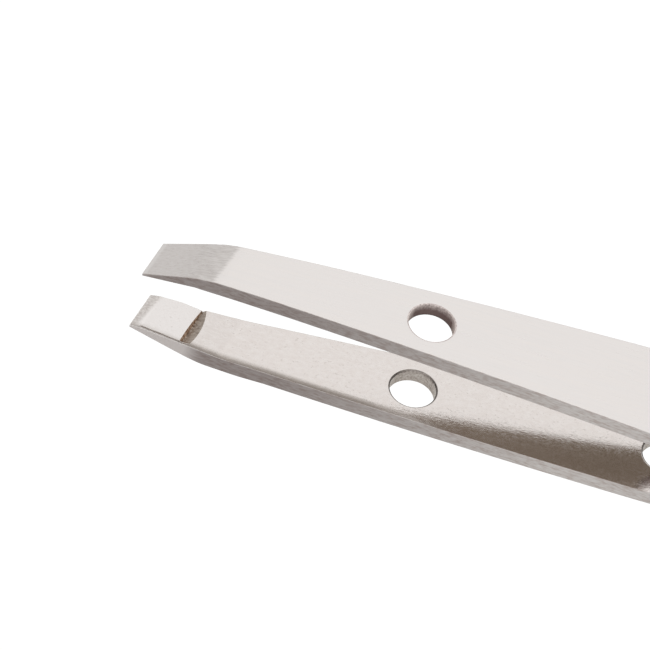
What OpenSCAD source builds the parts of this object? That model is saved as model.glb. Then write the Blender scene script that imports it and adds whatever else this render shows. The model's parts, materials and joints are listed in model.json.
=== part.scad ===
// Slant tweezers: two bowed spring-steel arms, spot-welded together at the tail.
// X runs from the tip (-X) to the tail (+X), Y across the arms, Z from the lower arm to the upper.

/* [Arms] */
// Length from the tip's longer corner to the end of the tail
overall_l = 95; // [94:1:100]
// Thickness of the steel
steel_t = 1.5; // [1.2:0.1:1.6]
// Width of each arm at the tip
tip_w = 4.1; // [3:0.1:5]
// Width that the straight edges would reach where they meet, at the belly
belly_w = 10.76; // [9:0.02:12]
// Distance from the tip to the belly
belly_s = 55; // [50:1:58]
// Half the length over which the belly is rounded
belly_round = 7; // [4:1:10]
// Width of each arm at the end of the tail
tail_w = 6.4; // [5.5:0.1:8]
// Radius of the tail's corners
tail_r = 2.6; // [1.5:0.1:2.7]

/* [Bow] */
// Radius of each arm's bow, on its inner face
bow_r = 760; // [740:10:780]
// Distance from the tip to the place where the bow stands furthest from the middle
bow_top_s = 9; // [8:0.5:10]
// Height of the inner face above the middle at that place
bow_h = 4.05; // [3.9:0.05:4.2]

/* [Slant tips] */
// Angle of the tip's edge across the arm
slant_angle = 14; // [8:1:20]
// Length of the gripping pad inside the tip, to the bottom of the groove behind it
pad_l = 4.9; // [4.5:0.1:5.5]
// Height of the upper tip's inner edge above the middle
upper_lift = 3.25; // [3.05:0.05:3.4]
// Slope of the upper gripping pad
upper_pad_angle = 8; // [6:0.5:9]
// Height of the lower tip's gripping pad below the middle, at its front
lower_lift = 3.4; // [3.3:0.05:3.5]
// Slope of the lower gripping pad
lower_pad_angle = 4.5; // [3:0.5:6]
// Depth of the groove filed behind each pad
groove_d = 0.4; // [0.2:0.02:0.5]
// Radius of the wheel that cuts the groove
groove_r = 15; // [12:1:20]

/* [Grip holes] */
// Diameter of the holes in the arms
hole_d = 4.2; // [4:0.1:4.6]
// Distance from the tip to the first hole
hole_s = 25.9; // [22:0.1:26]
// Distance from each hole to the next
hole_pitch = 23.3; // [20:0.1:23.5]
// Number of holes in each arm
hole_count = 3; // [1:1:3]

/* [Tail] */
// Distance from the tip to the line about which each arm bends
flex_s = 76; // [76:1:80]
// Diameter of each weld nugget
weld_d = 2.8; // [2:0.1:3]
// Depth that each nugget reaches into each arm
weld_depth = 0.4; // [0.2:0.1:0.5]
// Distance between the two nuggets
weld_pitch = 3.4; // [3.1:0.1:3.5]

/* [Hidden] */
$fn = 64;
// fine enough for the arms' bow, whose radius is large
bow_fn = 2880;
groove_fn = 360;
// longer and wider than the whole object, for cutting blocks
reach = 200;
// depth of the lower arm's outer face below the middle, behind its tip
lower_belly_h = bow_h + steel_t + 0.15;
mid_z = lower_belly_h;
bow_centre_h = bow_h - bow_r;
// where the two inner faces meet, and the flat tail starts
tail_s = bow_top_s + sqrt(bow_r * bow_r - bow_centre_h * bow_centre_h);
weld_mid_s = (tail_s + overall_l) / 2;
tip_slope = (belly_w - tip_w) / 2 / belly_s;
tail_slope = (belly_w - tail_w) / 2 / (overall_l - belly_s);
// the tip block runs this far back, and laps into the bowed arm
join_s = 11.5;
join_lap = 1;
// how far the tip block's end lies inside the bowed arm's faces
join_inset = 0.02;
// the flat tail starts this far behind the line where the inner faces meet
flat_lap = 0.06;
// the wheel that cuts the groove has two conical flanks, stands off the arm's centre line,
// and stops short of the arm's near edge
groove_y = -0.7;
groove_end_y = -2.1;
groove_front = 0.6;
groove_rear = 2.2;
// front bevel of the lower pad, along the tip's edge
nose_l = 0.85;
nose_h = 0.2;
// thickness left at the tips' edges
upper_edge_t = 0.28;
lower_edge_t = 0.27;
COL_STEEL = [0.86, 0.85, 0.84];
COL_WELD = [0.66, 0.65, 0.64];

// Half the width of an arm at a distance s from the tip, before the belly is rounded
function front_half(s) = tip_w / 2 + tip_slope * s;
function rear_half(s) = tail_w / 2 + tail_slope * (overall_l - s);
// The belly's edge: a parabola that meets both straight edges without a corner
function belly_half(u) = let (a = front_half(belly_s - belly_round), b = belly_w / 2,
                              c = rear_half(belly_s + belly_round))
    a * (1 - u) * (1 - u) + 2 * b * u * (1 - u) + c * u * u;
function belly_edge(side) = [for (i = [0 : 8])
    [belly_s + belly_round * (i / 4 - 1), side * belly_half(i / 8)]];
function reversed(list) = [for (i = [len(list) - 1 : -1 : 0]) list[i]];
function slant_x(y) = (y + tip_w / 2) * tan(slant_angle);

// Plan of one whole arm, with its slant tip at s = 0 and square tail
module arm_plan() {
    polygon(concat(
        [[slant_x(-tip_w / 2), -tip_w / 2]],
        belly_edge(-1),
        [[overall_l, -tail_w / 2], [overall_l, tail_w / 2]],
        reversed(belly_edge(1)),
        [[slant_x(tip_w / 2), tip_w / 2]]));
}

// The part of the plan from one distance to another, cut parallel to the tip's edge
module plan_slanted(from_s, to_s) {
    dx = slant_x(reach) - slant_x(-reach);
    x0 = slant_x(-reach) - slant_x(0);
    intersection() {
        arm_plan();
        polygon([[from_s + x0, -reach], [to_s + x0, -reach], [to_s + x0 + dx, reach],
                 [from_s + x0 + dx, reach]]);
    }
}

// The part of the plan in front of a straight line across the arm, or behind it
module plan_straight(from_s, to_s) {
    intersection() {
        arm_plan();
        translate([from_s, -reach]) square([to_s - from_s, 2 * reach]);
    }
}

// Round corners at the tail's end
module tail_corners() {
    for (side = [-1, 1])
        difference() {
            translate([overall_l - tail_r, side > 0 ? tail_w / 2 - tail_r : -tail_w / 2 - 1])
                square([tail_r + 1, tail_r + 1]);
            translate([overall_l - tail_r, side * (tail_w / 2 - tail_r)]) circle(r = tail_r);
        }
}

// Full-length sheet of steel, bowed to its radius about an axis across the arm
module bowed_sheet() {
    translate([bow_top_s, reach / 2, bow_centre_h])
        rotate([90, 0, 0])
            difference() {
                cylinder(r = bow_r + steel_t, h = reach, $fn = bow_fn);
                translate([0, 0, -1]) cylinder(r = bow_r, h = reach + 2, $fn = bow_fn);
            }
}

// Bowed length of an arm, from behind the tip block to the bending line
module bowed_arm() {
    intersection() {
        bowed_sheet();
        linear_extrude(height = 3 * bow_h)
            difference() {
                plan_straight(0, flex_s);
                plan_slanted(-reach, join_s);
            }
    }
}

// Tip block: a side profile of points [distance from the tip, height], swept parallel to the tip's edge
module tip_block(profile) {
    intersection() {
        translate([0, -tip_w / 2, 0])
            rotate([0, 0, -slant_angle])
                translate([0, reach / 2, 0])
                    rotate([90, 0, 0])
                        linear_extrude(height = reach)
                            polygon([for (p = profile) [p[0] * cos(slant_angle), p[1]]]);
        linear_extrude(height = 3 * bow_h) plan_slanted(-1, join_s + join_lap);
    }
}

// Wheel that is conical on both sides of its rim, sunk into the face behind the pad
module groove_wheel(pad_end_h) {
    translate([0, -tip_w / 2, 0])
        rotate([0, 0, -slant_angle])
            translate([pad_l * cos(slant_angle), tip_w / 2 + groove_y, pad_end_h + groove_d - groove_r])
                rotate([0, 90, 0])
                    rotate_extrude($fn = groove_fn)
                        polygon([[0, -groove_front], [groove_r - 1, -groove_front], [groove_r, 0],
                                 [groove_r - 1, groove_rear], [0, groove_rear]]);
}

// The wheel's cut, from beyond the far edge to its stop
module groove_cutter(pad_end_h) {
    intersection() {
        groove_wheel(pad_end_h);
        translate([-reach / 2, groove_end_y, -reach / 2]) cube(reach);
    }
}

// Grip holes, drilled square to the middle plane
module grip_holes() {
    for (i = [0 : hole_count - 1])
        translate([hole_s + i * hole_pitch, 0, -1]) cylinder(d = hole_d, h = 3 * bow_h);
}

// Swinging part of an arm, above the middle plane, with the given side profile for its tip
module swinging_arm(profile, pad_end_h) {
    difference() {
        union() {
            bowed_arm();
            tip_block(profile);
        }
        groove_cutter(pad_end_h);
        grip_holes();
    }
}

// Tail part of an arm, above the middle plane: the end of the bow, then the flat that is welded
module tail_leaf() {
    difference() {
        union() {
            intersection() {
                bowed_sheet();
                linear_extrude(height = 3 * bow_h) plan_straight(flex_s, tail_s + 1);
            }
            linear_extrude(height = steel_t) plan_straight(tail_s + flat_lap, overall_l);
        }
        translate([0, 0, -1]) linear_extrude(height = steel_t + 2) tail_corners();
        weld_spots(weld_depth);
    }
}

// Nugget of weld metal, half in each arm
module weld_spots(half_h, first = 0, last = 1) {
    for (i = [first : last])
        translate([weld_mid_s + (i - 0.5) * weld_pitch, 0, -half_h]) cylinder(d = weld_d, h = 2 * half_h);
}

// Moves a piece from its distance from the tip to its place in the finished tweezers
module place() {
    translate([-overall_l / 2, 0, mid_z]) children();
}

UPPER_PAD_END_H = upper_lift + pad_l * tan(upper_pad_angle);
LOWER_PAD_END_H = lower_lift + pad_l * tan(lower_pad_angle);

// Upper tip: the pad slopes in, and the outer face is ground down to a thin edge
UPPER_TIP = [
    [0, upper_lift],
    [pad_l, UPPER_PAD_END_H],
    [8.5, bow_h - 0.04],
    [join_s + join_lap + 2, bow_h + join_inset],
    [join_s + join_lap + 2, bow_h + steel_t - join_inset],
    [9, bow_h + steel_t - 0.03],
    [6.5, bow_h + steel_t - 0.08],
    [4.6, bow_h + steel_t - 0.42],
    [0, upper_lift + upper_edge_t]];

// Lower tip: a narrow bevel along its edge, then the pad, and a fuller bend behind it
LOWER_TIP = [
    [0, lower_lift + nose_h],
    [nose_l, lower_lift + nose_l * tan(lower_pad_angle)],
    [pad_l, LOWER_PAD_END_H],
    [8.5, bow_h + 0.06],
    [join_s + join_lap + 2, bow_h + join_inset],
    [join_s + join_lap + 2, bow_h + steel_t - join_inset],
    [10.5, lower_belly_h],
    [7, lower_belly_h - 0.05],
    [5, lower_belly_h - 0.47],
    [0, lower_lift + nose_h + lower_edge_t]];

module upper_arm() {
    color(COL_STEEL)
        place() swinging_arm(UPPER_TIP, UPPER_PAD_END_H);
}

module lower_arm() {
    color(COL_STEEL)
        place() mirror([0, 0, 1]) swinging_arm(LOWER_TIP, LOWER_PAD_END_H);
}

module upper_tail_leaf() {
    color(COL_STEEL)
        place() tail_leaf();
}

module lower_tail_leaf() {
    color(COL_STEEL)
        place() mirror([0, 0, 1]) tail_leaf();
}

module weld_spot_front() {
    color(COL_WELD)
        place() weld_spots(weld_depth, 0, 0);
}

module weld_spot_rear() {
    color(COL_WELD)
        place() weld_spots(weld_depth, 1, 1);
}

upper_arm();
lower_arm();
upper_tail_leaf();
lower_tail_leaf();
weld_spot_front();
weld_spot_rear();
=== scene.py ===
"""Slant tweezers: two bowed stainless-steel arms, spot-welded at the tail, on a white studio table.

Each arm is stamped from sheet, bent, ground at the tip and brushed. It is built here as one
closed mesh, bowed between the welded tail and its free end.
"""

import json
import math

import bmesh
import bpy
from mathutils import Matrix, Vector


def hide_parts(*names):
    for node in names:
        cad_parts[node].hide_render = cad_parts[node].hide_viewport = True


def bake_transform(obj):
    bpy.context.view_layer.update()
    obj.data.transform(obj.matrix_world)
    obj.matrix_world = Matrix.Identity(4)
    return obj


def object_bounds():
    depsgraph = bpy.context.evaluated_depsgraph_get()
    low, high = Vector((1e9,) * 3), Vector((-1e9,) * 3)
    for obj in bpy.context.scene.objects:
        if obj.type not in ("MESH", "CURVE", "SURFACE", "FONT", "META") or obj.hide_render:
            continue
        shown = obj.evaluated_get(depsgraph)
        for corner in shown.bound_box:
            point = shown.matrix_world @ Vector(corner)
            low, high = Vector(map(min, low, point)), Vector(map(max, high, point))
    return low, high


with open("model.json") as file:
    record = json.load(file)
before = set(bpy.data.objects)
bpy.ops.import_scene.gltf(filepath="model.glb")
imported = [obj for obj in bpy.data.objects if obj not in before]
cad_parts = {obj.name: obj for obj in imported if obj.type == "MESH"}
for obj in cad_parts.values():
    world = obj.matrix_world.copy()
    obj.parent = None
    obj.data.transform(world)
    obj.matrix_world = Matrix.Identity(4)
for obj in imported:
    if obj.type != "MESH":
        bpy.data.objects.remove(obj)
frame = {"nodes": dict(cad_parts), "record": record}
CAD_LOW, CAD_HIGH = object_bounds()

MM = 0.001

# ---------------------------------------------------------------- sizes, in mm
# s is the distance from the tip, y runs across the arm, h is the height above the middle plane.
LENGTH = (CAD_HIGH.x - CAD_LOW.x) / MM
TIP_X = CAD_LOW.x / MM
MOUNTS = {m["name"]: m for m in frame["record"]["mounts"]}
TAIL_TOP = MOUNTS["tail_flat_upper"]["pos_m"][2] / MM
TAIL_UNDER = MOUNTS["tail_flat_lower"]["pos_m"][2] / MM
MID_Z = (TAIL_TOP + TAIL_UNDER) / 2
STEEL_T = (TAIL_TOP - TAIL_UNDER) / 2
HOLE_R = MOUNTS["peg_hole"]["dims"]["r_mm"]
HOLE_PITCH = 23.3
# the peg hole is the last of three
FIRST_HOLE_S = MOUNTS["peg_hole"]["pos_m"][0] / MM - TIP_X - 2 * HOLE_PITCH
HOLES = [FIRST_HOLE_S + i * HOLE_PITCH for i in range(3)]

# outline of the flat blank: it widens to the belly, narrows to the tail, and leans at the tip
TIP_W = 4.1
# BELLY_W is where the two tapers would meet if the belly weren't rounded
BELLY_W, BELLY_S, BELLY_ROUND = 10.76, 55.0, 7.0
TAIL_W, TAIL_R = 6.4, 2.6
FRONT_TAPER = (BELLY_W - TIP_W) / 2 / BELLY_S
REAR_TAPER = (BELLY_W - TAIL_W) / 2 / (LENGTH - BELLY_S)
SLANT = math.tan(math.radians(14))
# the rows of quads lean with the tip as far as LEAN_FROM, and run square across from LEAN_TO
LEAN_FROM, LEAN_TO = 7.5, 20.0

# the bow of each arm, and where the two inner faces meet and the flat tail starts
BOW_R, BOW_TOP_S, BOW_H = 760.0, 9.0, 4.05
BOW_CENTRE_H = BOW_H - BOW_R
OUTER_H = BOW_H + STEEL_T
TAIL_S = BOW_TOP_S + math.sqrt(BOW_R**2 - BOW_CENTRE_H**2)

# the resistance welds leave a shallow dimple on both outer faces
WELD_PITCH = 3.4
WELD_SPOTS = [(TAIL_S + LENGTH + side * WELD_PITCH) / 2 for side in (-1, 1)]
DIMPLE_D, DIMPLE_R, DIMPLE_BLEND = 0.05, 0.9, 0.7

# the groove behind each pad, cut by a wheel that is conical on both sides of its rim: depth, the
# wheel's radius, where it cuts deepest, how far its walls run for each mm of depth, and its blunt end
PAD_L = 4.9
GROOVE_D, GROOVE_R, GROOVE_Y = 0.4, 15.0, -0.7
GROOVE_FRONT, GROOVE_REAR = 0.6, 2.2
GROOVE_END_Y, GROOVE_END_L = -2.1, 0.12
# the rows of quads bend this far ahead of and behind it, and sharper folds in it stay crisp
GROOVE_REACH = (1.4, 2.4)
GROOVE_FOLD = math.radians(35)


def bow_inner(s):
    """Height of the bowed arm's inner face."""
    return BOW_CENTRE_H + math.sqrt(BOW_R**2 - (s - BOW_TOP_S) ** 2)


def bow_outer(s):
    """Height of the bowed arm's outer face."""
    return BOW_CENTRE_H + math.sqrt((BOW_R + STEEL_T) ** 2 - (s - BOW_TOP_S) ** 2)


# tip profiles, as (distance from the slanted edge, height), joined to the bow behind
TIP_END_S = 13.0
UPPER_LIFT, UPPER_PAD = 3.25, math.tan(math.radians(8))
LOWER_LIFT, LOWER_PAD = 3.4, math.tan(math.radians(4.5))
NOSE_L, NOSE_H = 0.85, 0.2
UPPER_EDGE_T, LOWER_EDGE_T = 0.28, 0.27
UPPER_INNER = [(0, UPPER_LIFT), (PAD_L, UPPER_LIFT + PAD_L * UPPER_PAD), (8.5, BOW_H - 0.04),
               (TIP_END_S, bow_inner(TIP_END_S))]
UPPER_OUTER = [(0, UPPER_LIFT + UPPER_EDGE_T), (4.6, OUTER_H - 0.42), (6.5, OUTER_H - 0.08),
               (9, OUTER_H - 0.03), (TIP_END_S, bow_outer(TIP_END_S))]
LOWER_INNER = [(0, LOWER_LIFT + NOSE_H), (NOSE_L, LOWER_LIFT + NOSE_L * LOWER_PAD),
               (PAD_L, LOWER_LIFT + PAD_L * LOWER_PAD), (8.5, BOW_H + 0.06),
               (TIP_END_S, bow_inner(TIP_END_S))]
LOWER_OUTER = [(0, LOWER_LIFT + NOSE_H + LOWER_EDGE_T), (5, OUTER_H - 0.32), (7, OUTER_H + 0.1),
               (10.5, OUTER_H + 0.15), (TIP_END_S, bow_outer(TIP_END_S))]
# both lines' corners are rounded over these reaches, the inner one's only behind the groove
INNER_SOFT, OUTER_SOFT = 0.25, 0.6
CRISP_TO = PAD_L + 1.5

# the far side of the lower tip is ground in a little about the groove
LOWER_TRIM = [(0, 0), (3, 0), (4.7, 0.27), (6.8, 0.1), (8, 0)]
# slope that wear has given to the lower arm's near inner edge: a bevel on the tip, softer behind
LOWER_WEAR = [(0, 0.7), (4.6, 0.7), (5.6, 0.1), (22, 0.1), (30, 0)]
# how dull that edge has become, from 0 to 1; the same share greys it, a painted dark reflection
LOWER_DULL_AND_DARK_REFLECTION = [(0, 0.55), (4.6, 0.55), (5.6, 1), (22, 1), (30, 0.3), (40, 0.15)]
# the lower leaf's inner face is rolled a little towards its near edge behind the first hole
LOWER_ROLL = [(24, 0), (30, 0.0175), (60, 0.0175), (70, 0)]
NONE = [(0, 0), (1, 0)]


def smooth(t):
    """Rises gently from 0 to 1 as t does."""
    t = min(1, max(0, t))
    return t * t * (3 - 2 * t)


def along(points, s):
    """Height at s on a line through the given points, level before the first and after the last."""
    s = max(s, points[0][0])
    for (a, ha), (b, hb) in zip(points, points[1:]):
        if s <= b:
            return ha + (hb - ha) * (s - a) / (b - a)
    return points[-1][1]


def softened(points, s, reach):
    """The same line with its corners rounded over the given reach, and running on past the tip."""
    (a, ha), (b, hb) = points[:2]
    slope = (hb - ha) / (b - a)
    spots = [s + share * reach for share in (-1, -0.6, -0.2, 0.2, 0.6, 1)]
    heights = [along(points, spot) if spot > 0 else ha + slope * spot for spot in spots]
    return sum(heights) / len(heights)


def front_half(s):
    """Half the width of an arm ahead of its belly."""
    return TIP_W / 2 + FRONT_TAPER * s


def rear_half(s):
    """Half the width of an arm behind its belly."""
    return TAIL_W / 2 + REAR_TAPER * (LENGTH - s)


def half_width(s):
    """Half the width of an arm at s: straight tapers, a rounded belly and a round tail."""
    from_belly = s - BELLY_S
    if from_belly <= -BELLY_ROUND:
        half = front_half(s)
    elif from_belly >= BELLY_ROUND:
        half = rear_half(s)
    else:
        u = (from_belly + BELLY_ROUND) / (2 * BELLY_ROUND)
        before, after = front_half(BELLY_S - BELLY_ROUND), rear_half(BELLY_S + BELLY_ROUND)
        half = before * (1 - u) ** 2 + BELLY_W * u * (1 - u) + after * u * u
    into_corner = s - (LENGTH - TAIL_R)
    if into_corner > 0:
        corner = TAIL_W / 2 - TAIL_R + math.sqrt(max(0, TAIL_R**2 - into_corner**2))
        half = min(half, corner)
    return half


def slanted(s, y):
    """Lines across the arm lean with the slant tip as far as the groove, and straighten behind it."""
    lean = 1 - smooth((s - LEAN_FROM) / (LEAN_TO - LEAN_FROM))
    return s + SLANT * (y + TIP_W / 2) * lean


def wheel_depth(y):
    """Depth of the groove's bottom line, as the wheel cuts it."""
    return GROOVE_D - (y - GROOVE_Y) ** 2 / (2 * GROOVE_R)


def groove_depth(y):
    """The same, up to the groove's blunt end near the arm's near edge."""
    return wheel_depth(y) * smooth((y - GROOVE_END_Y) / GROOVE_END_L + 0.5)


def beside_groove(s, y):
    """Moves stations near the groove so that they follow its two curved edges."""
    off = s - PAD_L
    ahead, behind = GROOVE_REACH
    if not -ahead < off < behind:
        return s
    share = wheel_depth(y) / GROOVE_D
    front, rear = GROOVE_D * GROOVE_FRONT, GROOVE_D * GROOVE_REAR
    places = [(-ahead, -ahead), (-front, -front * share), (0, 0), (rear, rear * share), (behind, behind)]
    return PAD_L + along(places, off)


# ---------------------------------------------------------------- the arms' mesh
ACROSS = 20
# edges are rounded by the tumbler, hole rims more, and each rounding has a row of quads beside it
EDGE_R = 0.05
RIM_R = 0.15
SUPPORT = 0.04
ROUNDING = [math.radians(a) for a in (30, 60, 90)]
# widths of the worn strip and of the dulled strip along the near inner edge, which is also greyed as a
# painted dark reflection
WEAR_R = 0.3
DULL_AND_DARK_R = 0.9
NEAR_COLUMNS = [SUPPORT, 0.11, 0.18, 0.26, 0.36, 0.6, DULL_AND_DARK_R]
# half the length of the block of sheet around a hole, and its rings as shares of the way out
HOLE_BLOCK = 3.7
RIM_RINGS = [0, 0.04, 0.14, 0.3, 0.52, 0.72, 0.84, 0.9, 0.94, 0.97, 0.99]
# the arm's own map holds its places in units of this many mm
MAP_MM = 100.0
OUTER, INNER, EDGE, WALL, GROOVE = range(5)


def spread(low, high, step):
    """Even stations from low up to, but not including, high."""
    count = max(1, round((high - low) / step))
    return [low + (high - low) * i / count for i in range(count)]


def stations():
    """Where rows of quads lie along the arm: close at the pad, the groove and the tail's round
    corners, 1 mm apart elsewhere, and none across the holes' blocks."""
    front, rear = PAD_L - GROOVE_D * GROOVE_FRONT, PAD_L + GROOVE_D * GROOVE_REAR
    marks = [EDGE_R, EDGE_R + SUPPORT] + spread(0.2, NOSE_L, 0.2) + spread(NOSE_L, front - 0.05, 0.3)
    marks += [front - 0.05] + spread(front, PAD_L, 0.08) + spread(PAD_L, rear, 0.12)
    marks += [rear, rear + 0.05] + spread(rear + 0.2, TIP_END_S, 0.3)
    start = TIP_END_S
    for hole_s in HOLES:
        marks += spread(start, hole_s - HOLE_BLOCK, 1.0) + [hole_s - HOLE_BLOCK]
        start = hole_s + HOLE_BLOCK
    tail_corner = LENGTH - TAIL_R
    marks += spread(start, TAIL_S - 1, 1.0) + spread(TAIL_S - 1, tail_corner, 0.35)
    turn = [math.sin(math.radians(a)) for a in range(0, 90, 9)]
    end = TAIL_R - EDGE_R
    return marks + [tail_corner + end * k for k in turn] + [tail_corner + end]


class Arm:
    """Heights of one arm's two faces, and the closed mesh made from them. side is 1 for the upper
    arm and -1 for the lower one. Lines along the arm say how much its far side is trimmed, how
    steeply its near inner edge is worn, how dull that edge is and how much it is greyed as a painted
    dark reflection, and how far its inner face is rolled."""

    def __init__(self, name, side, inner, outer, trim=NONE, wear=NONE, dull=NONE, roll=NONE):
        self.name = name
        self.side = side
        self.inner = inner
        self.outer = outer
        self.trim = trim
        self.wear = wear
        self.dull = dull
        self.roll = roll
        self.points = []
        self.sheet = []
        self.mesh = bmesh.new()
        self.maps = {}

    def inner_h(self, s, y):
        """Height of the inner face, with its groove, roll and wear."""
        if s >= TIP_END_S:
            h = bow_inner(min(s, TAIL_S))
        elif s > CRISP_TO:
            h = softened(self.inner, s, INNER_SOFT)
        else:
            h = along(self.inner, s)
        off = s - PAD_L
        slope = GROOVE_REAR if off > 0 else GROOVE_FRONT
        h += max(0, groove_depth(y) - abs(off) / slope)
        h -= along(self.roll, s) * y
        # the strip worn along the near edge is a little wider in some places than in others
        strip = WEAR_R * (0.85 + 0.15 * math.sin(1.9 * s) * math.cos(0.7 * s))
        into = max(0, strip - (y + half_width(s)))
        return h + along(self.wear, s) * into**2 / (2 * strip)

    def outer_h(self, s, y):
        """Height of the outer face, with its dimples over the welds."""
        if s < TIP_END_S:
            return softened(self.outer, s, OUTER_SOFT)
        h = max(STEEL_T, bow_outer(s))
        for spot in WELD_SPOTS:
            gap = math.hypot(s - spot, y)
            h -= DIMPLE_D * (1 - smooth((gap - DIMPLE_R) / DIMPLE_BLEND))
        return h

    def dullness_and_dark_reflection(self, s, y):
        """Share of dulling on the inner face, most at its near edge; it also greys the face as a painted
        dark reflection.
        """
        into = max(0, DULL_AND_DARK_R - (y + half_width(s)))
        return along(self.dull, s) * into / DULL_AND_DARK_R

    def sheet_edge(self, s, side):
        """Where the flat of the sheet ends across the arm, inside its rounded edge."""
        trim = along(self.trim, s) if side > 0 else 0
        return side * (half_width(s) - trim - EDGE_R)

    def point(self, s, y):
        self.points.append((s, y))
        return len(self.points) - 1

    def across(self, s):
        """A row of points across the sheet at s, closer together at its edges."""
        near, far = self.sheet_edge(s, -1), self.sheet_edge(s, 1)
        first, last = near + NEAR_COLUMNS[-1], far - SUPPORT
        row = [near] + [near + k for k in NEAR_COLUMNS[:-1]]
        row += [first + (last - first) * i / ACROSS for i in range(ACROSS + 1)] + [far]
        return [self.point(beside_groove(s, y), y) for y in row]

    def lay_sheet(self):
        """Quads of the flat sheet, with rings of quads about each hole. Returns the sheet's outline
        and the holes' rims, as loops with the steel on their left."""
        near, far, rims = [], [], []
        row = None
        for s in stations():
            previous, row = row, self.across(s)
            if previous is None:
                first = row
            elif any(math.isclose(s - HOLE_BLOCK, hole_s) for hole_s in HOLES):
                rims.append(self.hole_block(previous, row, s - HOLE_BLOCK, near, far)[::-1])
            else:
                self.sheet += zip(previous, row, row[1:], previous[1:])
            near.append(row[0])
            far.append(row[-1])
        return near + row[1:-1] + far[::-1] + first[-2:0:-1], rims

    def hole_block(self, left, right, hole_s, near, far):
        """Rings of quads from a hole's rim out to the block of sheet around it."""
        steps = spread(hole_s - HOLE_BLOCK, hole_s + HOLE_BLOCK, 0.5)[1:]
        near_run = [self.point(s, self.sheet_edge(s, -1)) for s in steps]
        far_run = [self.point(s, self.sheet_edge(s, 1)) for s in steps]
        near += near_run
        far += far_run
        border = left[::-1] + near_run + right + far_run[::-1]
        rim = HOLE_R + RIM_R
        rings = []
        for share in RIM_RINGS:
            ring = []
            for k in border:
                s, y = self.points[k]
                angle = math.atan2(y, s - hole_s)
                reach = math.hypot(y, s - hole_s)
                r = rim + (reach - rim) * share
                ring.append(self.point(hole_s + r * math.cos(angle), r * math.sin(angle)))
            rings.append(ring)
        rings.append(border)
        for inside, outside in zip(rings, rings[1:]):
            self.sheet += zip(inside, outside, outside[1:] + outside[:1], inside[1:] + inside[:1])
        return rings[0]

    def vert(self, x, y, h, s, depth, share=0):
        """A vertex, with its place on the arm, its share of the steel's depth, and its share of wear: on
        the inner face its dulling and painted dark reflection, on a hole's wall how near it is to the
        ends that are painted lighter.
        """
        v = self.mesh.verts.new((TIP_X + x, y, MID_Z + self.side * h))
        self.maps[v] = {"arm": (s / MAP_MM, y / MAP_MM), "wear": (depth, share)}
        return v

    def face(self, verts, slot):
        """A smooth face, turned outwards on either arm."""
        f = self.mesh.faces.new(verts if self.side > 0 else verts[::-1])
        f.material_index = slot
        f.smooth = True

    def inner_slot(self, quad):
        """The groove's slot inside its two curved edges, and the inner face's elsewhere."""
        s = sum(self.points[k][0] for k in quad) / 4
        y = sum(self.points[k][1] for k in quad) / 4
        depth = groove_depth(y)
        return GROOVE if -depth * GROOVE_FRONT < s - PAD_L < depth * GROOVE_REAR else INNER

    def wall_column(self, k, before, after, rounding):
        """Vertices down the side at one point of a loop, between its neighbours' places."""
        s, y = self.points[k]
        dx, dy = after[0] - before[0], after[1] - before[1]
        size = math.hypot(dx, dy)
        out = (dy / size, -dx / size)
        x = slanted(s, y)
        high, low = self.outer_h(s, y), self.inner_h(s, y)
        # thin tips have smaller roundings
        r = min(rounding, 0.3 * (high - low))
        support = min(SUPPORT, 0.1 * (high - low))
        steps = [(r * math.sin(a), high - r * (1 - math.cos(a))) for a in ROUNDING]
        steps += [(r, high - r - support), (r, low + r + support)]
        steps += [(r * math.sin(a), low + r * (1 - math.cos(a))) for a in reversed(ROUNDING)]
        # a hole's wall is painted lighter at its two ends, a painted highlight, and its soil shows on
        # its sides
        return [self.vert(x + out[0] * d, y + out[1] * d, h, s, (high - h) / (high - low), out[0] ** 2)
                for d, h in steps]

    def wall(self, loop, rounding, slot, tops, unders):
        """Rounds the sheet's edge over to the side, down, and under to the other face. The loop has
        the steel on its left."""
        flat = [(slanted(*self.points[k]), self.points[k][1]) for k in loop]
        columns = []
        for i, k in enumerate(loop):
            side = self.wall_column(k, flat[i - 1], flat[(i + 1) % len(flat)], rounding)
            columns.append([tops[k]] + side + [unders[k]])
        for here, there in zip(columns, columns[1:] + columns[:1]):
            for a, b, c, d in zip(here, here[1:], there[1:], there):
                self.face([a, b, c, d], slot)

    def build(self):
        """The arm's closed mesh, with its maps and finish slots, as an object in the scene."""
        outline, rims = self.lay_sheet()
        tops = [self.vert(slanted(s, y), y, self.outer_h(s, y), s, 0) for s, y in self.points]
        unders = [self.vert(slanted(s, y), y, self.inner_h(s, y), s, 1, self.dullness_and_dark_reflection(s, y))
                  for s, y in self.points]
        for quad in self.sheet:
            self.face([tops[k] for k in quad], OUTER)
            self.face([unders[k] for k in reversed(quad)], self.inner_slot(quad))
        self.wall(outline, EDGE_R, EDGE, tops, unders)
        for rim in rims:
            self.wall(rim, RIM_R, WALL, tops, unders)
        for name in ("arm", "wear"):
            layer = self.mesh.loops.layers.uv.new(name)
            for f in self.mesh.faces:
                for corner in f.loops:
                    corner[layer].uv = self.maps[corner.vert][name]
        for edge in self.mesh.edges:
            slots = {f.material_index for f in edge.link_faces}
            # the groove has crisp edges and a crisp bottom line
            if GROOVE in slots and (len(slots) > 1 or edge.calc_face_angle(0) > GROOVE_FOLD):
                edge.smooth = False
        bmesh.ops.scale(self.mesh, vec=(MM, MM, MM), verts=self.mesh.verts)
        data = bpy.data.meshes.new(self.name)
        self.mesh.to_mesh(data)
        self.mesh.free()
        piece = bpy.data.objects.new(self.name, data)
        bpy.context.scene.collection.objects.link(piece)
        return piece


# ---------------------------------------------------------------- materials
def linear(code):
    """A colour from its sRGB hex value."""
    channels = [int(code[i : i + 2], 16) / 255 for i in (0, 2, 4)]
    return [c / 12.92 if c <= 0.04045 else ((c + 0.055) / 1.055) ** 2.4 for c in channels] + [1]


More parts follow.
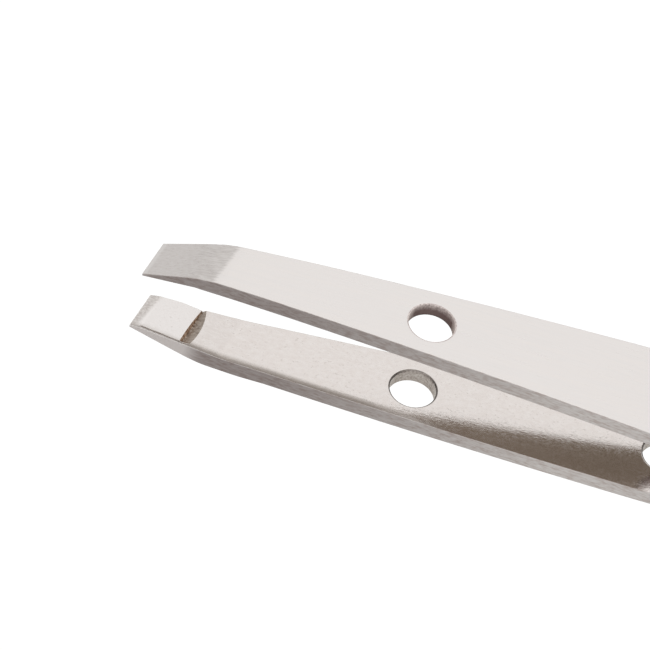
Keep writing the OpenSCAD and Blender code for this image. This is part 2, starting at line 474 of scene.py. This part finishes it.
def add(tree, kind, *inputs, **settings):
    """Adds a node. Inputs are values, hex colours, nodes or their outputs, in the order of the
    sockets in use, or one dictionary of them by name. A node stands for its first output in use."""
    node = tree.nodes.new("ShaderNode" + kind)
    for key, value in settings.items():
        setattr(node, key, value)
    if inputs and isinstance(inputs[0], dict):
        pairs = [(node.inputs[name], value) for name, value in inputs[0].items()]
    else:
        pairs = zip([socket for socket in node.inputs if socket.enabled], inputs)
    for socket, value in pairs:
        if isinstance(value, bpy.types.Node):
            value = next(output for output in value.outputs if output.enabled)
        if isinstance(value, bpy.types.NodeSocket):
            tree.links.new(value, socket)
        else:
            socket.default_value = linear(value) if isinstance(value, str) else value
    return node


def start(name):
    """A new material and its empty node tree."""
    material = bpy.data.materials.new(name)
    material.use_nodes = True
    tree = material.node_tree
    tree.nodes.clear()
    return material, tree


def arm_place(tree, axis):
    """Distance from the tip (X) or across the arm (Y) in mm, from the arm's own map."""
    place = add(tree, "SeparateXYZ", add(tree, "UVMap", uv_map="arm"))
    return add(tree, "Math", place.outputs[axis], MAP_MM, operation="MULTIPLY")


def wear_place(tree, axis):
    """Share of the steel's depth (X), or how dull the face and how grey its painted dark reflection, or
    how near a hole's ends, which are painted lighter (Y).
    """
    place = add(tree, "SeparateXYZ", add(tree, "UVMap", uv_map="wear"))
    return place.outputs[axis]


def grain(tree, along_mm, across_mm, detail=3.0, seed=0.0):
    """Noise whose grain is along_mm long and across_mm wide, lying along the arm."""
    at = add(tree, "TexCoord")
    scaled = add(tree, "Mapping", {"Vector": at.outputs["Object"],
                                   "Scale": (1000 / along_mm, 1000 / across_mm, 1000 / across_mm),
                                   "Location": (seed, seed * 1.7, seed * 0.3)})
    return add(tree, "TexNoise", {"Vector": scaled.outputs["Vector"], "Scale": 1.0, "Detail": detail,
                                  "Roughness": 0.6})


def metal(tree, colour, roughness, height=None, depth_mm=0.01, strength=1.0, anisotropy=0.0, bare=1.0):
    """Metal: its colour and roughness, the relief of its finish, and how bare of oxide it is."""
    inputs = {"Base Color": colour, "Metallic": bare, "Roughness": roughness, "Anisotropic": anisotropy}
    if height is not None:
        inputs["Normal"] = add(tree, "Bump", {"Height": height, "Distance": depth_mm * MM,
                                              "Strength": strength})
    if anisotropy:
        inputs["Tangent"] = add(tree, "Tangent", direction_type="UV_MAP", uv_map="arm")
    add(tree, "OutputMaterial", add(tree, "BsdfPrincipled", inputs))


def satin_brushed_stainless():
    """Stainless steel drawn along a fine belt: a soft sheen with hair-fine lines along the arm.
    The tip's bevel is ground on a wheel, so it is greyer, and its edge is honed bright."""
    material, tree = start("satin_brushed_stainless")
    s, y = arm_place(tree, "X"), arm_place(tree, "Y")
    # the belt's lines are 0.02 to 0.05 mm wide, which is too fine to show, so they are drawn coarser
    hair = grain(tree, 9, 0.12)
    streak = grain(tree, 18, 0.5, 2.0, 5.0)
    wheel = grain(tree, 5, 0.14, 3.0, 9.0)
    share = add(tree, "MapRange", hair, 0.3, 0.7)
    body = add(tree, "Mix", share, "EAE6E4", "EEEAE8", data_type="RGBA")
    share = add(tree, "MapRange", streak, 0.45, 0.6, 0.0, 0.5)
    body = add(tree, "Mix", share, body, "EEE9E6", data_type="RGBA")
    share = add(tree, "MapRange", wheel, 0.35, 0.65)
    bevel = add(tree, "Mix", share, "D6D1CE", "DFDBD9", data_type="RGBA")
    # the wheel leaves the bevel's rear darkest, with the deepest lines
    share = add(tree, "MapRange", wheel, 0.4, 0.6)
    streaks = add(tree, "Mix", share, "C6C1BE", "DAD6D3", data_type="RGBA")
    rear = add(tree, "MapRange", s, 2.5, 5.8, 0.0, 0.7)
    bevel = add(tree, "Mix", rear, bevel, streaks, data_type="RGBA")
    honed = add(tree, "MapRange", s, 0.25, 0.45, 0.45, 0.0)
    bevel = add(tree, "Mix", honed, bevel, "F1EFED", data_type="RGBA")
    # the bevel ends in a slightly ragged line that leans across the arm
    bevel_end = add(tree, "Math", y, 0.03, 6.45, operation="MULTIPLY_ADD")
    behind = add(tree, "Math", s, bevel_end, operation="SUBTRACT")
    ragged = add(tree, "MapRange", wheel, 0.35, 0.65, -0.1, 0.1)
    behind = add(tree, "Math", behind, ragged, operation="ADD")
    ground = add(tree, "MapRange", behind, -0.2, 0.2, 1.0, 0.0)
    colour = add(tree, "Mix", ground, body, bevel, data_type="RGBA")
    relief = add(tree, "Mix", ground, hair, wheel)
    roughness = add(tree, "MapRange", relief, 0.3, 0.7, 0.27, 0.36)
    metal(tree, colour, roughness, relief, depth_mm=0.008, strength=0.25, anisotropy=0.45)
    return material


def tumbled_stainless():
    """Stainless steel left as tumbled: bright enough to mirror, with a faint mottle and tiny pits.
    The pad is ground brighter, and its front bevel is filed by hand, so it is a little duller."""
    material, tree = start("tumbled_stainless")
    s, y = arm_place(tree, "X"), arm_place(tree, "Y")
    mottle = grain(tree, 0.6, 0.4, 4.0, 2.0)
    # real pits are under 0.1 mm wide, so they are drawn as wide as they need to show
    pits = grain(tree, 0.26, 0.2, 2.0, 7.0)
    dimples = grain(tree, 0.3, 0.22, 3.0, 4.0)
    hair = grain(tree, 4, 0.14, 3.0, 1.0)
    share = add(tree, "MapRange", mottle, 0.3, 0.7)
    body = add(tree, "Mix", share, "E1DAD6", "E8E3E0", data_type="RGBA")
    pad = add(tree, "MapRange", s, PAD_L - 0.3, PAD_L, 1.0, 0.0)
    body = add(tree, "Mix", pad, body, "EDE9E7", data_type="RGBA")
    share = add(tree, "MapRange", pits, 0.62, 0.75, 0.0, 0.4)
    colour = add(tree, "Mix", share, body, "B2A89F", data_type="RGBA")
    # the front bevel ends in a line that leans across the arm
    filed_to = add(tree, "Math", y, 0.14, 0.75, operation="MULTIPLY_ADD")
    ahead = add(tree, "Math", filed_to, s, operation="SUBTRACT")
    filed = add(tree, "MapRange", ahead, -0.2, 0.2, 0.0, 0.75)
    share = add(tree, "MapRange", pits, 0.4, 0.6)
    scuffs = add(tree, "Mix", share, "BDB6B1", "DDD8D4", data_type="RGBA")
    colour = add(tree, "Mix", filed, colour, scuffs, data_type="RGBA")
    # handling has dulled the near edge, and its grey is a painted dark reflection along that edge
    dull = wear_place(tree, "Y")
    uneven = add(tree, "Math", mottle, 0.3, dull, operation="MULTIPLY_ADD")
    worn = add(tree, "MapRange", uneven, 0.3, 0.9)
    colour = add(tree, "Mix", worn, colour, "BBB3AD", data_type="RGBA")
    speckle = add(tree, "MapRange", pits, 0.4, 0.75, 0.0, 0.3)
    matt = add(tree, "Math", worn, speckle, operation="MAXIMUM")
    bright = add(tree, "MapRange", mottle, 0.3, 0.7, 0.07, 0.11)
    roughness = add(tree, "Math", matt, 0.35, bright, operation="MULTIPLY_ADD")
    relief = add(tree, "Mix", 0.7, hair, dimples)
    # the weld's heat has left a dull oxide between the tails
    bare = add(tree, "MapRange", s, 62, 80, 1.0, 0.35)
    metal(tree, colour, roughness, relief, depth_mm=0.008, strength=0.8, bare=bare)
    return material


def blanked_edge(name, filed_to):
    """The sheet's cut edge, drag-finished: duller than the faces, with faint lines along it.
    As far as filed_to from the tip it is filed by hand, so it is matt and pale."""
    material, tree = start(name)
    s = arm_place(tree, "X")
    lines = grain(tree, 2.5, 0.1, 3.0, 3.0)
    cloud = grain(tree, 0.8, 0.2, 4.0, 4.0)
    share = add(tree, "MapRange", lines, 0.3, 0.7)
    body = add(tree, "Mix", share, "CCC5C2", "DEDAD7", data_type="RGBA")
    share = add(tree, "MapRange", cloud, 0.45, 0.65, 0.0, 0.8)
    body = add(tree, "Mix", share, body, "B9ACA6", data_type="RGBA")
    filed = add(tree, "MapRange", s, filed_to - 0.8, filed_to + 1.0, 1.0, 0.0)
    colour = add(tree, "Mix", filed, body, "F7F4F2", data_type="RGBA")
    matt = add(tree, "Math", filed, 0.44, 0.28, operation="MULTIPLY_ADD")
    roughness = add(tree, "Math", lines, 0.12, matt, operation="MULTIPLY_ADD")
    metal(tree, colour, roughness, lines, depth_mm=0.008, strength=0.5)
    return material


def punched_wall(name, light, dark, fade, roughness, bare, rim_painted_shade):
    """The wall of a punched hole: torn grain, duller than the faces. Soil darkens it where fade
    begins and ends, as shares of its depth from the outer face, and its two ends are painted lighter,
    a painted highlight. bare says how bare of oxide it is, and the last argument how much painted
    shade lines its inner rim, each on its sides and at its two ends."""
    material, tree = start(name)
    depth, along_arm = wear_place(tree, "X"), wear_place(tree, "Y")
    tear = grain(tree, 0.2, 0.2, 4.0, 6.0)
    uneven = add(tree, "Math", tear, 0.3, depth, operation="MULTIPLY_ADD")
    share = add(tree, "MapRange", tear, 0.35, 0.65, 0.0, 0.6)
    clean = add(tree, "Mix", share, light, dark, data_type="RGBA")
    # the tear's grain is 0.5 on average, which moves what is uneven by 0.15
    soil = add(tree, "MapRange", uneven, fade[0] + 0.15, fade[1] + 0.15)
    colour = add(tree, "Mix", soil, clean, dark, data_type="RGBA")
    # the two ends are painted lighter, a painted highlight
    ends = add(tree, "MapRange", along_arm, 0.66, 1.0)
    colour = add(tree, "Mix", ends, colour, light, data_type="RGBA")
    # a dark line of painted shade along the inner rim, as much as the last argument gives on the sides
    # and at the ends
    rim = add(tree, "MapRange", uneven, 1.0, 1.1)
    around = add(tree, "MapRange", along_arm, 0.15, 0.7, rim_painted_shade[0], rim_painted_shade[1])
    rim = add(tree, "Math", rim, around, operation="MULTIPLY")
    colour = add(tree, "Mix", rim, colour, "3A2E28", data_type="RGBA")
    rough = add(tree, "MapRange", tear, 0.3, 0.7, roughness, roughness + 0.12)
    bareness = add(tree, "MapRange", ends, 0.0, 1.0, bare[0], bare[1])
    metal(tree, colour, rough, tear, depth_mm=0.012, strength=0.7, bare=bareness)
    return material


def filed_groove():
    """A wheel-cut groove that keeps its brown oxide and polishing soil, tan on its front wall and
    darkest along its bottom line."""
    material, tree = start("filed_groove")
    s = arm_place(tree, "X")
    soil = grain(tree, 0.3, 0.22, 4.0, 8.0)
    share = add(tree, "MapRange", soil, 0.35, 0.65)
    front = add(tree, "Mix", share, "A88468", "EFD6C0", data_type="RGBA")
    rear = add(tree, "Mix", share, "8F8277", "C0B6AC", data_type="RGBA")
    at_rear = add(tree, "MapRange", s, PAD_L - 0.02, PAD_L)
    sides = add(tree, "Mix", at_rear, front, rear, data_type="RGBA")
    off = add(tree, "Math", s, PAD_L, operation="SUBTRACT")
    off = add(tree, "Math", off, operation="ABSOLUTE")
    packed = add(tree, "MapRange", off, 0.03, 0.12, 0.8, 0.0)
    patches = add(tree, "MapRange", soil, 0.35, 0.6, 1.0, 0.2)
    packed = add(tree, "Math", packed, patches, operation="MULTIPLY")
    colour = add(tree, "Mix", packed, sides, "4A3626", data_type="RGBA")
    roughness = add(tree, "MapRange", soil, 0.3, 0.7, 0.35, 0.5)
    metal(tree, colour, roughness, soil, depth_mm=0.02, strength=0.8)
    return material


def weld_metal():
    """Resistance-weld nugget: dull cast stainless with a straw-coloured heat tint."""
    material, tree = start("weld_metal")
    cast = grain(tree, 0.4, 0.4, 4.0, 3.0)
    share = add(tree, "MapRange", cast, 0.3, 0.7)
    colour = add(tree, "Mix", share, "8C8276", "B9B1A6", data_type="RGBA")
    roughness = add(tree, "MapRange", cast, 0.3, 0.7, 0.4, 0.6)
    metal(tree, colour, roughness, cast, depth_mm=0.02, strength=0.6)
    return material


OUTER_FINISH = satin_brushed_stainless()
INNER_FINISH = tumbled_stainless()
GROOVE_FINISH = filed_groove()
WELD_FINISH = weld_metal()
UPPER_EDGE = blanked_edge("blanked_edge", filed_to=0.0)
LOWER_EDGE = blanked_edge("blanked_and_filed_edge", filed_to=6.1)
# soil has packed into the upper arm's holes below their outer rims, and only greys the lower arm's
# each hole's inner rim is lined with painted shade, and its two ends are painted lighter, a painted
# highlight
UPPER_WALL = punched_wall("punched_wall_soiled", "F4EAE6", "85726F", fade=(0.05, 0.5), roughness=0.5,
                          bare=(0.6, 0.55), rim_painted_shade=(0.8, 0.6))
LOWER_WALL = punched_wall("punched_wall_clean", "FFFDFA", "B5A9A1", fade=(0.7, 1.2), roughness=0.6,
                          bare=(0.9, 0.6), rim_painted_shade=(0.2, 0.85))


def lay_arm(arm, edge_finish, wall_finish, nodes):
    """Builds an arm with its finishes, in the order of their slots, in place of its two CAD nodes."""
    piece = arm.build()
    for finish in (OUTER_FINISH, INNER_FINISH, edge_finish, wall_finish, GROOVE_FINISH):
        piece.data.materials.append(finish)
    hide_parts(*nodes)
    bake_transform(piece)


upper = Arm("upper_arm_steel", 1, UPPER_INNER, UPPER_OUTER)
# the lower arm's near inner edge is dulled, and greyed as a painted dark reflection
lower = Arm("lower_arm_steel", -1, LOWER_INNER, LOWER_OUTER, trim=LOWER_TRIM, wear=LOWER_WEAR,
            dull=LOWER_DULL_AND_DARK_REFLECTION, roll=LOWER_ROLL)
lay_arm(upper, UPPER_EDGE, UPPER_WALL, ("upper_arm", "upper_tail_leaf"))
lay_arm(lower, LOWER_EDGE, LOWER_WALL, ("lower_arm", "lower_tail_leaf"))

for name in ("weld_spot_front", "weld_spot_rear"):
    nugget = frame["nodes"][name]
    nugget.data.materials.clear()
    nugget.data.materials.append(WELD_FINISH)

# ---------------------------------------------------------------- studio
# the background is a little over white, so that it shows as pure white
BACKGROUND = 1.05


def light_table():
    """A table lit from within, which shows white. In the steel's reflections it is a pale sweep in
    front, lighter to the right, with a brown card behind that darkens to the right."""
    material, tree = start("light_table")
    at = add(tree, "TexCoord")
    axes = add(tree, "SeparateXYZ", at.outputs["Object"])
    rightward = add(tree, "MapRange", axes.outputs["X"], -0.034, -0.008)
    front = add(tree, "Mix", rightward, "A6A1A0", "DFDFDE", data_type="RGBA")
    rightward = add(tree, "MapRange", axes.outputs["X"], -0.02, -0.004)
    card = add(tree, "Mix", rightward, "91887E", "82796E", data_type="RGBA")
    behind = add(tree, "MapRange", axes.outputs["Y"], -0.003, 0.003)
    sweep = add(tree, "Mix", behind, front, card, data_type="RGBA")
    seen = add(tree, "LightPath").outputs["Is Camera Ray"]
    shown = add(tree, "Mix", seen, sweep, "FFFFFF", data_type="RGBA")
    strength = add(tree, "Mix", seen, 1.0, BACKGROUND)
    add(tree, "OutputMaterial", add(tree, "Emission", shown, strength))
    return material


def soft_studio():
    """Soft light, fullest high on all sides, that falls off to the left, to the right and overhead."""
    world = bpy.data.worlds.new("soft_studio")
    world.use_nodes = True
    tree = world.node_tree
    tree.nodes.clear()
    way = add(tree, "TexCoord")
    axes = add(tree, "SeparateXYZ", way.outputs["Generated"])
    left = add(tree, "MapRange", axes.outputs["X"], -0.5, 0.0, 0.76, 0.98)
    right = add(tree, "MapRange", axes.outputs["X"], 0.0, 0.35, 0.98, 0.79)
    zenith = add(tree, "MapRange", axes.outputs["Z"], 0.86, 1.0, 1.0, 0.55)
    level = add(tree, "Math", left, right, operation="MINIMUM")
    level = add(tree, "Math", level, zenith, operation="MULTIPLY")
    seen = add(tree, "LightPath").outputs["Is Camera Ray"]
    strength = add(tree, "Mix", seen, level, BACKGROUND)
    add(tree, "OutputWorld", add(tree, "Background", {"Color": "FFFEFD", "Strength": strength}))
    return world


def soft_light(name, place, aim, size, watts):
    """A rectangular soft box at a place, aimed at a point."""
    data = bpy.data.lights.new(name, "AREA")
    data.shape = "RECTANGLE"
    data.size, data.size_y = size
    data.energy = watts
    lamp = bpy.data.objects.new(name, data)
    lamp.location = place
    lamp.rotation_euler = (Vector(aim) - Vector(place)).to_track_quat("-Z", "Y").to_euler()
    bpy.context.scene.collection.objects.link(lamp)


bpy.ops.mesh.primitive_plane_add(size=4, location=(0, 0, -0.0002))
floor = bpy.context.object
floor.name = "studio_floor"
floor.data.materials.append(light_table())
bpy.context.scene.world = soft_studio()
soft_light("overhead_softbox", place=(0.15, 0.1, 0.9), aim=(0, 0, 0), size=(0.9, 0.7), watts=0.7)

# a long lens, looking down along +Y onto the tips, turned a little about its own axis
AIM = Vector((-30.7, 1.0, MID_Z + 0.05)) * MM
DISTANCE = 0.842
AZIMUTH, ELEVATION, ROLL = math.radians(0.46), math.radians(48.79), math.radians(15.37)
LENS_MM, SENSOR_MM = 523.4, 36
back = Vector((math.sin(AZIMUTH) * math.cos(ELEVATION), -math.cos(AZIMUTH) * math.cos(ELEVATION),
               math.sin(ELEVATION)))
camera_data = bpy.data.cameras.new("camera")
camera_data.lens = LENS_MM
camera_data.sensor_width = SENSOR_MM
camera_data.clip_start, camera_data.clip_end = 0.01, 20
camera = bpy.data.objects.new("camera", camera_data)
bpy.context.scene.collection.objects.link(camera)
look = (-back).to_track_quat("-Z", "Y").to_matrix().to_4x4() @ Matrix.Rotation(ROLL, 4, "Z")
camera.matrix_world = Matrix.Translation(AIM + back * DISTANCE) @ look
bpy.context.scene.camera = camera
bpy.context.scene.view_settings.view_transform = "Standard"
